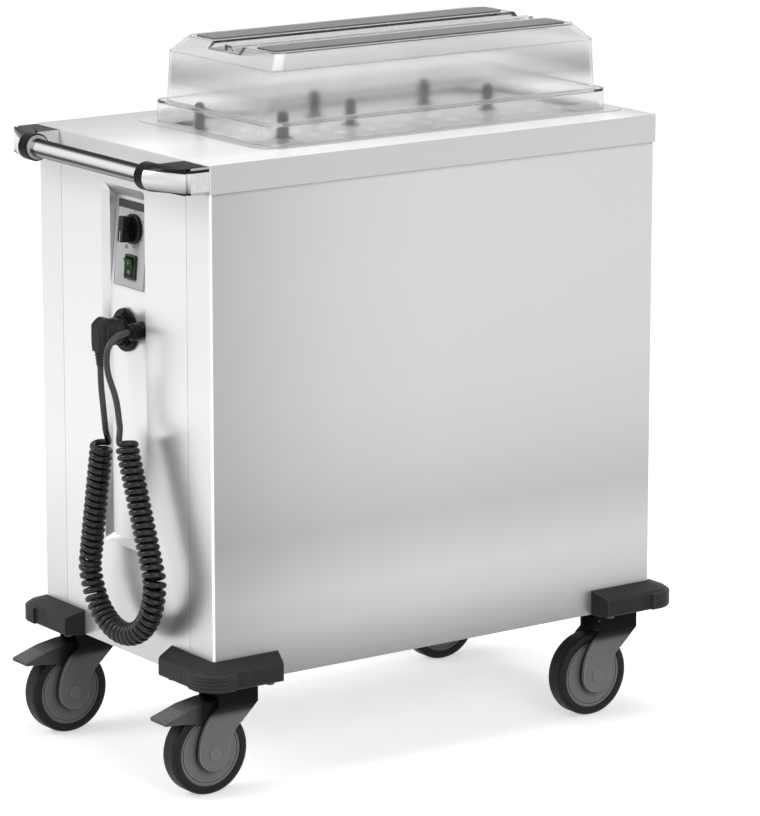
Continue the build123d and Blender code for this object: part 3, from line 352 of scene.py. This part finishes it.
def brushed(name, low, high, rough, grain, stretch, painted_crease_shade=0.0, metallic=0.72):
    """Stainless sheet with a fine brushed grain along one direction and, where a reach is given, painted shade
    in its corners and gaps.
    """
    made = Maker(name)
    made.set(metallic=metallic, anisotropic=STEEL_ANISOTROPY)
    streaks = made.noise(1.0, 3.0, stretch)
    cloud = made.noise(3.0, 2.0)
    tone = made.mix(made.between(streaks, 0.0, 1.0), grey(low), grey(high))
    tone = made.mix(made.between(cloud, 0.0, 0.3), tone, grey(high))
    # Painted shade in corners and gaps
    if painted_crease_shade:
        tone = made.times(tone, made.painted_crease_shade(painted_crease_shade, CREASE_SHADE_DARK))
    made.tone = tone
    made.color(tone)
    made.rough(made.between(streaks, rough, rough + grain))
    return made


def moulded(name, dark, light, rough, grain=900.0, strength=0.12, specular=0.3, edge=0.0008, edge_highlight=None):
    """Plastic or rubber with a fine grain, slightly uneven tone and, where an edge colour is given, a painted
    highlight that pales its edges.
    """
    made = Maker(name)
    made.set(specular=specular)
    cloud = made.noise(9.0, 3.0)
    made.tone = made.mix(made.between(cloud, 0.0, 1.0), dark, light)
    # Painted highlight: edges paler, as if they caught the light
    if edge_highlight:
        made.tone = made.mix(made.edges(EDGE_HIGHLIGHT_REACH * edge), made.tone, edge_highlight)
    made.color(made.tone)
    grainy = made.noise(grain, 2.0)
    made.rough(made.between(grainy, rough - 0.06, rough + 0.08))
    made.bump(grainy, strength, edge)
    return made


def side_steel():
    """Painted reflection in soft bands up the face, painted shade towards the handle end, a painted shadow line
    under the rim and a painted highlight on the corners.
    """
    made = brushed("side_steel", 0.700, 0.712, 0.30, 0.015, UPRIGHT_GRAIN, 0.012)
    height = made.run("Z", BODY_LOW, WORKTOP_TOP)
    # Painted reflection in bands up the face, dark at the foot, and painted shadow under the rim
    face = made.greys(
        height, (0.0, 0.44), (0.05, 0.62), (0.09, 0.77), (0.15, 0.84), (0.21, 0.76), (0.27, 0.69),
        (0.40, 0.80), (0.52, 0.87), (0.76, 0.94), (0.9405, 0.965), (0.9425, 0.60), (1.0, 0.60),
    )
    # Painted shade, darker towards the handle end
    painted_front_shade = made.greys(
        made.run("Y", FRONT_Y, REAR_Y), (0.0, 0.68), (0.06, 0.73), (0.16, 0.83), (0.29, 0.92),
        (0.48, 0.985), (1.0, 1.0),
    )
    # Faces that look along Y: painted shade at the foot and painted shadow under the rim
    painted_return_shade = made.greys(
        height, (0.0, 0.54), (0.12, 0.65), (0.35, 0.76), (0.85, 0.76), (0.9405, 0.675), (0.9425, 0.45),
    )
    tone = made.times(made.times(made.tone, face), painted_front_shade)
    tone = made.mix(made.facing("Y", 0.60, 0.90), tone, painted_return_shade)
    # Painted highlight on the rounded upright corners
    made.color(made.mix(made.corner(), tone, grey(1.0)))
    return made


def end_steel():
    """Painted shade: a little darker at the foot and in the rim's shadow."""
    made = brushed("end_steel", 0.815, 0.830, 0.30, 0.015, UPRIGHT_GRAIN, 0.02, 0.62)
    # Painted shade by height
    bands = made.greys(
        made.run("Z", BODY_LOW, WORKTOP_TOP), (0.0, 0.80), (0.15, 0.90), (0.40, 1.0), (0.86, 1.0),
        (0.95, 0.86), (1.0, 0.78),
    )
    made.color(made.times(made.tone, bands))
    return made


def top_steel():
    """A level face with a painted reflection that pales towards the near side and painted shade at the far end,
    and a rim in painted shade, greyer along its sides, paler at the ends and with a painted highlight on its
    corners.
    """
    made = brushed("top_steel", 0.930, 0.945, 0.30, 0.015, LENGTHWISE_GRAIN, 0.012)
    made.rounded(0.0015)
    level = made.between(made.axis(made.normal(), "Z"), 0.0, 1.0, 0.5, 0.9)
    endways = made.facing("Y", 0.60, 0.90)
    length = made.run("Y", FRONT_Y, REAR_Y)
    near_strip = made.product(level, made.run("X", 0.150, 0.180))
    shine = made.product(made.between(level, 0.50, 0.30, 0.0, 1.0), made.between(endways, 1.0, 0.1, 0.0, 1.0))
    shine = made.product(shine, made.between(near_strip, 1.0, 0.1, 0.0, 1.0))
    made.link(shine, made.shader.inputs["Metallic"])
    # Rim: painted shade along its length, paler on the ends, painted highlight on the corners
    rim = made.greys(length, (0.0, 0.60), (0.3, 0.66), (1.0, 0.72))
    rim = made.mix(endways, rim, grey(0.96))
    rim = made.mix(made.corner(), rim, grey(1.0))
    # Level face: painted reflection paling towards the near side, painted shade at the far end
    painted_reflection_across = made.greys(made.run("X", -HALF_WIDTH, HALF_WIDTH), (0.0, 0.50), (0.35, 0.66), (0.62, 1.0))
    painted_far_end_shade = made.greys(length, (0.90, 1.0), (0.98, 0.66))
    tone = made.times(made.times(made.tone, painted_reflection_across), painted_far_end_shade)
    made.color(made.mix(level, rim, tone))
    return made


def platform_steel():
    """Painted highlight on the slopes of the pressed holes."""
    made = brushed("platform_steel", 0.80, 0.83, 0.34, 0.04, LENGTHWISE_GRAIN, 0.0, 0.10)
    # Painted highlight on the slopes
    slopes = made.between(made.axis(made.normal(), "Z"), 1.0, 0.0, 0.80, 0.96)
    made.color(made.mix(slopes, made.tone, grey(1.0)))
    return made


def tube_steel():
    """Polished tube with a painted reflection: the dark and bright bands of a studio, painted by the slope of
    its faces.
    """
    made = brushed("tube_steel", 0.88, 0.92, 0.10, 0.02, ACROSS_GRAIN, 0.0, 0.80)
    slope = made.between(made.axis(made.normal(), "Z"), 0.0, 1.0, -1.0, 1.0)
    # Painted reflection bands, by how far each face looks up or down
    bands = made.greys(
        slope, (0.0, 0.55), (0.20, 0.75), (0.30, 0.14), (0.42, 0.10), (0.50, 0.60), (0.58, 1.0),
        (0.80, 1.0), (0.90, 0.12), (1.0, 0.04),
    )
    made.color(made.times(made.tone, bands))
    made.shader.inputs["Specular Tint"].default_value = (*grey(0.15), 1)
    return made


def castor_grey():
    made = moulded(
        "castor_grey", grey(0.25), grey(0.32), 0.42, 800.0, 0.15, specular=0.2, edge=0.0010, edge_highlight=grey(0.60),
    )
    # Painted shade in the gaps round the wheels and axles
    made.color(made.times(made.tone, made.painted_crease_shade(0.020, 0.04)))
    return made


def fork_grey():
    """Grey arms with a painted shadow that darkens them upwards, under the bumper."""
    made = moulded(
        "fork_grey", grey(0.27), grey(0.33), 0.42, 800.0, 0.15, specular=0.05, edge=0.0012, edge_highlight=grey(0.60),
    )
    shade = made.greys(
        made.run("Z", 0.106, 0.156), (0.0, 1.0), (0.14, 0.90), (0.30, 0.14), (0.45, 0.04), (1.0, 0.02),
    )
    made.color(made.times(made.tone, shade))
    return made


def pedal_grey():
    """A grey tread with a painted shadow that darkens it towards its hinge, under the bumper."""
    made = moulded(
        "pedal_grey", grey(0.13), grey(0.17), 0.42, 700.0, 0.25, specular=0.05, edge=0.0012, edge_highlight=grey(0.30),
    )
    shade = made.greys(made.run("Y", -0.410, -0.360), (0.0, 1.0), (0.40, 0.75), (0.70, 0.12), (1.0, 0.04))
    made.color(made.times(made.tone, shade))
    return made


def bracket_black():
    """Black, with speckled silver on the faces that look sideways, past the ring on the tube."""
    made = moulded("bracket_black", grey(0.006), grey(0.010), 0.38, specular=0.05, edge_highlight=grey(0.05))
    past_ring = made.between(made.size(made.axis(made.place, "X")), 0.0, 1.0, 0.1615, 0.1620)
    speckle = made.greys(made.noise(1600.0, 2.0), (0.35, 0.60), (0.65, 0.95))
    made.color(made.mix(made.product(made.facing("X", 0.80, 0.90), past_ring), made.tone, speckle))
    return made


def silver_cover():
    """Silver with painted shade in soft bands, darkest at the bottom, speckled on the faces that look sideways,
    and black along its top.
    """
    made = moulded("silver_cover", grey(0.78), grey(0.84), 0.24, 500.0, 0.06)
    made.set(metallic=0.80)
    # Painted shade in bands up the cover
    bands = made.greys(
        made.run("Z", 0.864, 0.896), (0.0, 0.20), (0.15, 0.45), (0.40, 0.75), (0.70, 1.0), (1.0, 0.85),
    )
    speckle = made.greys(made.noise(1600.0, 2.0), (0.35, 0.48), (0.65, 0.80))
    silver = made.mix(made.facing("X", 0.85, 0.95), made.times(made.tone, bands), speckle)
    made.color(made.mix(made.run("Z", 0.8910, 0.8918), silver, grey(0.012)))
    return made


def plug_rubber():
    """Painted light: paler on its sides."""
    made = moulded(
        "plug_rubber", grey(0.006), grey(0.010), 0.32, specular=0.12, edge=0.0006, edge_highlight=grey(0.20),
    )
    # Painted light on the faces that look along X
    made.color(made.mix(made.facing("X", 0.50, 0.95), made.tone, grey(0.060)))
    return made


def cord_rubber():
    """Painted sheen: paler on the straight leads, above the curls."""
    made = moulded("cord_rubber", grey(0.007), grey(0.011), 0.26, specular=0.35)
    # Painted sheen on the leads
    made.color(made.mix(made.run("Z", 0.490, 0.515), made.tone, grey(0.060)))
    return made


def clear_plastic():
    """Slightly hazy clear plastic with a painted dark band half way up, standing in for shade seen through the
    lid.
    """
    made = Maker("clear_plastic")
    made.set(transmission=1.0, ior=1.45)
    haze = made.mix(made.between(made.noise(6.0, 2.0), 0.0, 1.0), grey(0.92), grey(0.97))
    # Painted shade: a dark band half way up the walls
    bands = made.greys(
        made.run("Z", WORKTOP_TOP, LID_TOP), (0.0, 0.98), (0.34, 0.97), (0.48, 0.65), (0.60, 0.70),
        (0.75, 0.90), (1.0, 0.92),
    )
    made.color(made.times(haze, bands))
    made.rounded(0.003)
    made.rough(made.between(made.noise(30.0, 2.0), 0.12, 0.16))
    return made


def dress(made, *names):
    for name in names:
        piece = nodes[name]
        piece.data.materials.clear()
        piece.data.materials.append(made.material)


def each(prefix, ends):
    return [prefix + end for end in ends]


dress(side_steel(), *each("side_panel_", SIDES))
dress(end_steel(), "operator_panel", "rear_panel")
dress(top_steel(), "worktop")
dress(
    brushed("well_steel", 0.58, 0.64, 0.30, 0.10, UPRIGHT_GRAIN), "well_liner", "well_floor", "base_tray",
    "platform_carriage", "spring_hangers", "heater_brackets", "corner_tabs",
)
dress(platform_steel(), "platform")
dress(tube_steel(), "handle_tube")
dress(brushed("zinc", 0.42, 0.55, 0.34, 0.15, EVEN_GRAIN), "castor_plates", "lift_springs")
dress(brushed("bolt_steel", 0.07, 0.11, 0.40, 0.15, EVEN_GRAIN), "bumper_bolts")
dress(brushed("heater_sheath", 0.18, 0.30, 0.42, 0.15, SHEATH_GRAIN), "heater_element")

bumper_plastic = moulded(
    "bumper_plastic", grey(0.020), grey(0.030), 0.52, 700.0, 0.25, specular=0.2, edge=0.0012, edge_highlight=grey(0.11),
)
dress(bumper_plastic, *each("bumper_", CORNERS))
dress(castor_grey(), *each("castor_wheel_", CORNERS), *each("castor_axle_", CORNERS))
dress(fork_grey(), *each("castor_fork_", CORNERS))
dress(pedal_grey(), *each("brake_pedal_", SIDES))
tyre_rubber = moulded("tyre_rubber", grey(0.009), grey(0.015), 0.50, 600.0, 0.15, specular=0.2, edge_highlight=grey(0.06))
dress(tyre_rubber, *each("castor_tyre_", CORNERS))
dress(moulded("pin_plastic", grey(0.09), grey(0.12), 0.30), "guide_pins")

bracket_plastic = bracket_black()
dress(bracket_plastic, *each("handle_bracket_", SIDES))
dress(silver_cover(), *each("handle_cover_", SIDES))
dress(moulded("collar_grey", grey(0.52), grey(0.6), 0.34), "handle_collars")

dress(moulded("plate_face", grey(0.69), grey(0.75), 0.35, 500.0, 0.05), "control_plate")
control_black = moulded("control_black", grey(0.005), grey(0.008), 0.28, specular=0.22)
dress(control_black, "thermostat_knob", "thermostat_body")
dress(moulded("bezel_grey", grey(0.030), grey(0.042), 0.40), "switch_bezel")
rocker_green = moulded(
    "rocker_green", (0.006, 0.044, 0.006), (0.011, 0.066, 0.011), 0.30, 300.0, 0.04, specular=0.05,
)
dress(rocker_green, "switch_rocker")

socket_black = moulded("socket_black", grey(0.004), grey(0.007), 0.34, specular=0.12, edge_highlight=grey(0.06))
dress(socket_black, "plug_holder", "cable_gland")
dress(plug_rubber(), "plug", "plug_boot")
cord.data.materials.append(cord_rubber().material)

dress(moulded("strip_grey", grey(0.10), grey(0.13), 0.42), "lid_strips")
dress(clear_plastic(), "lid")


# Small printed and moulded marks on the controls, in the frame of the tilted control plate,
# and the flat webs of the handle brackets
RECESS_Y = -0.3584
BEND_Z = 0.690
TILT = math.atan(12 / 130)
PLATE = 0.0012
PLATE_UPPER = 0.126
KNOB = (0.005, 0.088)
KNOB_TOP = PLATE + 0.0004 + 0.006 + 0.017
SWITCH = (0.005, 0.034)
ROCKER_TILT = math.radians(8)
SUNK = 0.0001

HEADER_HALF, HEADER_LOWER, HEADER_THICK, HEADER_BEVEL = 0.039, 0.1145, 0.0004, 0.0002
BORDER_X, BORDER_LOWER, BORDER_HALF, BORDER_THICK = 0.0386, 0.0040, 0.0003, 0.0002
DOT_REACH, DOT_RADIUS, DOT_THICK, LOW_DOT_RADIUS = 0.0255, 0.0009, 0.0003, 0.0012
DOT_STEP = 30
LAMP_OFFSET, LAMP_RADIUS, LAMP_FLATNESS = (-0.017, -0.027), 0.0032, 0.55
POINTER_HALF, POINTER_ENDS, POINTER_BEVEL = 0.0009, (-0.0176, -0.003), 0.0001
POINTER_SUNK, POINTER_PROUD = 0.0003, 0.0002
MARK_LOW, MARK_HIGH = 0.0050, 0.0062
BAR_HALF, BAR_ENDS = 0.0005, (0.0045, 0.0090)
RING_Y, RING_RADIUS, RING_DOT, RING_DOTS = -0.0068, 0.0022, 0.0006, 16
WEB_PLAN = [(0.1630, -0.3697), (0.2257, -0.3697), (0.2257, -0.3760), (0.1630, -0.4060)]
WEB_LOW, WEB_HIGH = 0.8618, 0.8982


def mesh_piece(name, build, place, body, made):
    """A mesh made by build in local coordinates, then set in place and given to a body."""
    mesh = bpy.data.meshes.new(name)
    shape = bmesh.new()
    build(shape)
    shape.transform(place)
    bmesh.ops.recalc_face_normals(shape, faces=shape.faces)
    shape.to_mesh(mesh)
    shape.free()
    mesh.materials.append(made.material)
    piece = bpy.data.objects.new(name, mesh)
    scene.collection.objects.link(piece)
    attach(piece, body)


def add_block(shape, low, high, bevel=0.0):
    made = bmesh.ops.create_cube(shape, size=1)
    size = [b - a for a, b in zip(low, high)]
    middle = [(a + b) / 2 for a, b in zip(low, high)]
    bmesh.ops.scale(shape, vec=size, verts=made["verts"])
    bmesh.ops.translate(shape, vec=middle, verts=made["verts"])
    if bevel:
        edges = list({edge for vertex in made["verts"] for edge in vertex.link_edges})
        bmesh.ops.bevel(shape, geom=edges, offset=bevel, segments=2, affect="EDGES")


def add_disc(shape, x, y, low, high, radius):
    made = bmesh.ops.create_cone(
        shape, cap_ends=True, segments=20, radius1=radius, radius2=radius * 0.9, depth=high - low,
    )
    bmesh.ops.translate(shape, vec=(x, y, (low + high) / 2), verts=made["verts"])


def header_strip(shape):
    low = (-HEADER_HALF, HEADER_LOWER, PLATE - SUNK)
    add_block(shape, low, (HEADER_HALF, PLATE_UPPER, PLATE + HEADER_THICK), HEADER_BEVEL)


def plate_border(shape):
    low, high = PLATE - SUNK, PLATE + BORDER_THICK
    for x in (-BORDER_X, BORDER_X):
        add_block(shape, (x - BORDER_HALF, BORDER_LOWER, low), (x + BORDER_HALF, PLATE_UPPER, high))
    add_block(shape, (-BORDER_X, BORDER_LOWER, low), (BORDER_X, BORDER_LOWER + 2 * BORDER_HALF, high))


def dial_dots(shape):
    """Dots round the knob, the lowest one larger."""
    high = PLATE + DOT_THICK
    for degrees in range(DOT_STEP - 90, 270, DOT_STEP):
        angle = math.radians(degrees)
        x, y = KNOB[0] + DOT_REACH * math.cos(angle), KNOB[1] + DOT_REACH * math.sin(angle)
        add_disc(shape, x, y, PLATE, high, DOT_RADIUS)
    add_disc(shape, KNOB[0], KNOB[1] - DOT_REACH, PLATE, high, LOW_DOT_RADIUS)


def pilot_lamp(shape):
    made = bmesh.ops.create_uvsphere(shape, u_segments=20, v_segments=10, radius=LAMP_RADIUS)
    place = (KNOB[0] + LAMP_OFFSET[0], KNOB[1] + LAMP_OFFSET[1], PLATE)
    bmesh.ops.scale(shape, vec=(1, 1, LAMP_FLATNESS), verts=made["verts"])
    bmesh.ops.translate(shape, vec=place, verts=made["verts"])


def knob_pointer(shape):
    low = (-POINTER_HALF, POINTER_ENDS[0], KNOB_TOP - POINTER_SUNK)
    high = (POINTER_HALF, POINTER_ENDS[1], KNOB_TOP + POINTER_PROUD)
    add_block(shape, low, high, POINTER_BEVEL)


def rocker_marks(shape):
    """A bar on one half of the rocker and a ring on the other."""
    add_block(shape, (-BAR_HALF, BAR_ENDS[0], MARK_LOW), (BAR_HALF, BAR_ENDS[1], MARK_HIGH))
    for index in range(RING_DOTS):
        angle = 2 * math.pi * index / RING_DOTS
        x, y = RING_RADIUS * math.cos(angle), RING_Y + RING_RADIUS * math.sin(angle)
        add_disc(shape, x, y, MARK_LOW, MARK_HIGH, RING_DOT)


def bracket_web(shape):
    """The flat web between the curved horn of a bracket and the rim, on the +X side."""
    low = [shape.verts.new((x, y, WEB_LOW)) for x, y in WEB_PLAN]
    high = [shape.verts.new((x, y, WEB_HIGH)) for x, y in WEB_PLAN]
    shape.faces.new(low)
    shape.faces.new(high)
    for index in range(len(WEB_PLAN)):
        after = (index + 1) % len(WEB_PLAN)
        shape.faces.new((low[index], low[after], high[after], high[index]))


control_frame = Matrix.Translation((0, RECESS_Y, BEND_Z)) @ Matrix.Rotation(math.pi / 2 - TILT, 4, "X")
rocker_frame = control_frame @ Matrix.Translation((*SWITCH, PLATE)) @ Matrix.Rotation(ROCKER_TILT, 4, "X")
knob_frame = control_frame @ Matrix.Translation((*KNOB, 0))
dark_print = moulded("dark_print", grey(0.05), grey(0.065), 0.45)
fine_print = moulded("fine_print", (0.02, 0.035, 0.025), (0.03, 0.05, 0.035), 0.5)
white_print = moulded("white_print", grey(0.78), grey(0.84), 0.45)
lens_grey = moulded("lens_grey", grey(0.3), grey(0.38), 0.2)
mesh_piece("control_header", header_strip, control_frame, "cabinet", dark_print)
mesh_piece("control_border", plate_border, control_frame, "cabinet", dark_print)
mesh_piece("dial_dots", dial_dots, control_frame, "cabinet", fine_print)
mesh_piece("pilot_lamp", pilot_lamp, control_frame, "cabinet", lens_grey)
mesh_piece("rocker_marks", rocker_marks, rocker_frame, "rocker", white_print)
for side, sign in zip(SIDES, (-1, 1)):
    mirror = Matrix.Diagonal((sign, 1, 1, 1))
    mesh_piece("bracket_web_" + side, bracket_web, mirror, "cabinet", bracket_plastic)
mesh_piece("knob_pointer", knob_pointer, knob_frame, "knob", white_print)


# Floor, light and background
LIGHT_ON_OBJECT, LIGHT_SEEN = 0.36, 1.0
FLOOR_HALF = 14
GLOW_NEAR, GLOW_FAR = 0.53, 0.70
GLOW_START, GLOW_END = 0.6, 2.4
OBJECT_MIDDLE = (0, 0, 0.5)
WHITE = (1, 1, 1, 1)


def light_share(tree, low, high):
    """low for light that falls on the object, high for what is seen directly, mirrored or through the lid."""
    path = tree.nodes.new("ShaderNodeLightPath")
    total = path.outputs["Is Camera Ray"]
    for name in ("Is Glossy Ray", "Is Transmission Ray"):
        node = tree.nodes.new("ShaderNodeMath")
        node.operation = "MAXIMUM"
        tree.links.new(total, node.inputs[0])
        tree.links.new(path.outputs[name], node.inputs[1])
        total = node.outputs[0]
    node = tree.nodes.new("ShaderNodeMapRange")
    node.inputs["To Min"].default_value = low
    node.inputs["To Max"].default_value = high
    tree.links.new(total, node.inputs["Value"])
    return node.outputs["Result"]


def floor_paint():
    """Pale paint that glows to white where it is seen, keeps shadows and lights the object little."""
    made = Maker("floor_paint")
    made.set(rough=0.9, specular=0.1)
    pale = made.mix(made.between(made.noise(1.5), 0.0, 1.0), grey(0.80), grey(0.84))
    made.color(made.mix(light_share(made.tree, 0.0, 1.0), grey(0.22), pale))
    glow = made.add("ShaderNodeEmission")
    glow.inputs["Color"].default_value = WHITE
    distance = made.add("ShaderNodeVectorMath", operation="LENGTH")
    made.link(made.place, distance.inputs[0])
    reach = made.between(distance.outputs["Value"], GLOW_NEAR, GLOW_FAR, GLOW_START, GLOW_END)
    made.link(made.product(reach, light_share(made.tree, 0.0, 1.0)), glow.inputs["Strength"])
    both = made.add("ShaderNodeAddShader")
    made.link(made.shader.outputs[0], both.inputs[0])
    made.link(glow.outputs[0], both.inputs[1])
    output = next(node for node in made.tree.nodes if node.type == "OUTPUT_MATERIAL")
    made.link(both.outputs[0], output.inputs["Surface"])
    return made


def lamp(name, place, aim, size, power):
    data = bpy.data.lights.new(name, "AREA")
    data.shape = "DISK"
    data.size = size
    data.energy = power
    piece = bpy.data.objects.new(name, data)
    piece.location = place
    piece.rotation_euler = (Vector(aim) - Vector(place)).to_track_quat("-Z", "Y").to_euler()
    scene.collection.objects.link(piece)


world = bpy.data.worlds.new("studio")
world.use_nodes = True
scene.world = world
background = world.node_tree.nodes["Background"]
background.inputs["Color"].default_value = WHITE
strength = light_share(world.node_tree, LIGHT_ON_OBJECT, LIGHT_SEEN)
world.node_tree.links.new(strength, background.inputs["Strength"])

floor_corners = [(x * FLOOR_HALF, y * FLOOR_HALF, 0) for x, y in ((-1, -1), (1, -1), (1, 1), (-1, 1))]
floor_mesh = bpy.data.meshes.new("floor")
floor_mesh.from_pydata(floor_corners, [], [(0, 1, 2, 3)])
floor_mesh.materials.append(floor_paint().material)
floor = bpy.data.objects.new("floor", floor_mesh)
scene.collection.objects.link(floor)

lamp("key", (-1.6, -4.0, 3.4), OBJECT_MIDDLE, 2.2, 90)
lamp("side_fill", (4.2, -0.6, 2.6), OBJECT_MIDDLE, 2.4, 55)
lamp("overhead", (0.2, 0.4, 4.4), (0, 0, 0.6), 2.6, 70)
